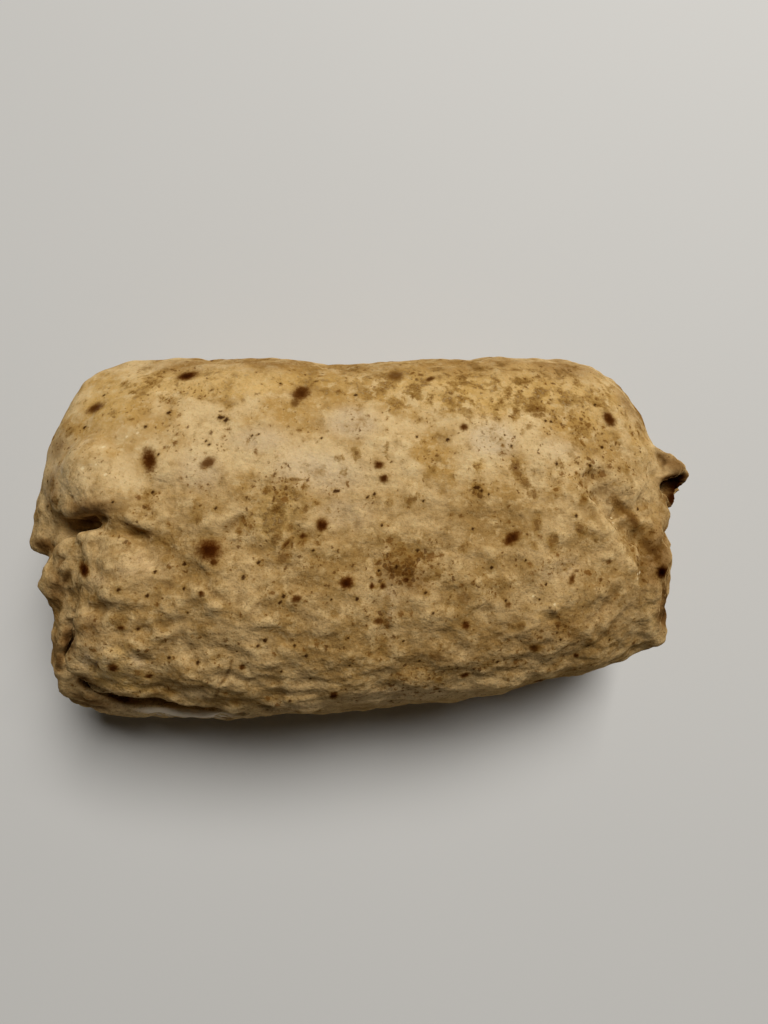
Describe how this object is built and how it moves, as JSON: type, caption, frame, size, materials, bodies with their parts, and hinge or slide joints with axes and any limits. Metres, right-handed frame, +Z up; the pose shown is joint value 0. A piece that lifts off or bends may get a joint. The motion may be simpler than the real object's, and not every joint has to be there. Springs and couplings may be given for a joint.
{
  "type": "steak wrap",
  "caption": "Closed flour tortilla wrap rolled round its filling, both ends tucked in, with a free edge along the front and toasted spots.",
  "frame": {"origin": "centre of the footprint's bounding box, at the flat underside", "axes": "+X along the roll towards the end with the ear, +Y to its back, +Z up"},
  "size_m": [0.1684, 0.0956, 0.0577],
  "materials": {
    "tortilla": "matt toasted flour tortilla with a faint sheen, tan with dark brown griddle spots"
  },
  "bodies": {
    "root": {"tortilla_wrap": "tortilla"}
  },
  "joints": []
}
